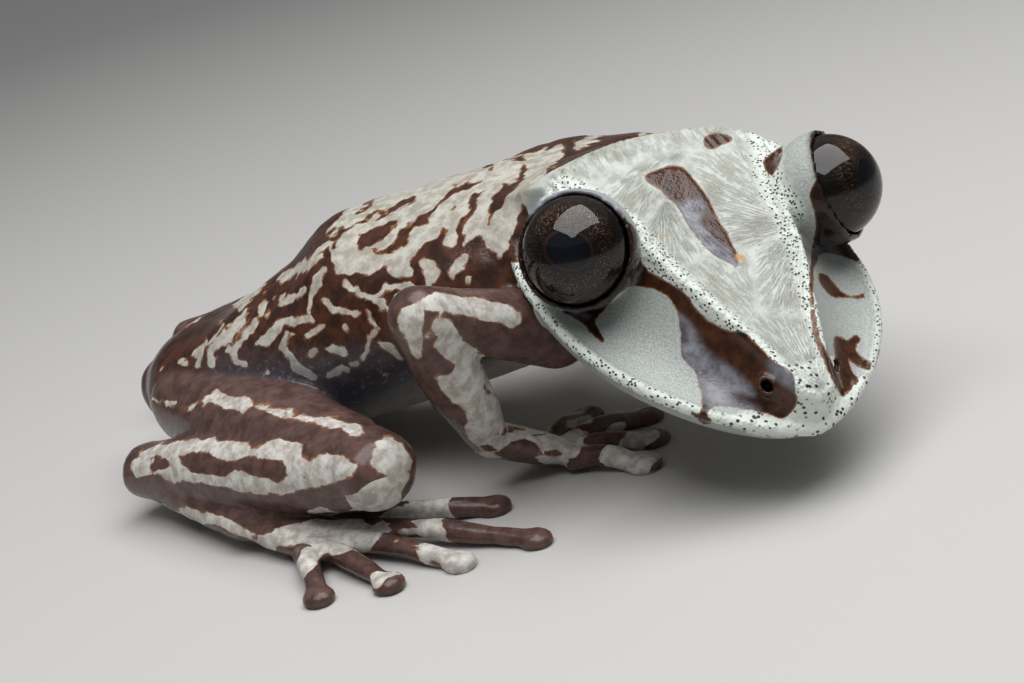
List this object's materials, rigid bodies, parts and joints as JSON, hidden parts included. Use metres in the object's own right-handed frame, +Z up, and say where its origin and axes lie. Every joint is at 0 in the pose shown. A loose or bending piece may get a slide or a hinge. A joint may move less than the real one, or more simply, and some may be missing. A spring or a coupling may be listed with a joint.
{
  "type": "brunos casque-headed tree frog",
  "caption": "Still, life-size tree frog with a bony casque on its head, crouched on all fours with its head turned to its right.",
  "frame": {"origin": "middle of the frog's footprint, on the floor that it rests on", "axes": "+X along the body towards its front, +Y towards its left side, +Z up"},
  "size_m": [0.068, 0.056, 0.0225],
  "materials": {
    "head_skin": "moist skin over bone, satin",
    "body_skin": "moist smooth skin, satin",
    "limb_skin": "moist smooth skin, satin",
    "eye": "polished, wet"
  },
  "bodies": {
    "root": {"torso": "body_skin", "head": "head_skin", "eye_left": "eye", "eye_right": "eye", "upper_arm_left": "limb_skin", "upper_arm_right": "limb_skin", "forearm_left": "limb_skin", "forearm_right": "limb_skin", "hand_left": "limb_skin", "hand_right": "limb_skin", "thigh_left": "limb_skin", "thigh_right": "limb_skin", "shank_left": "limb_skin", "shank_right": "limb_skin", "tarsus_left": "limb_skin", "tarsus_right": "limb_skin", "foot_left": "limb_skin", "foot_right": "limb_skin"}
  },
  "joints": []
}
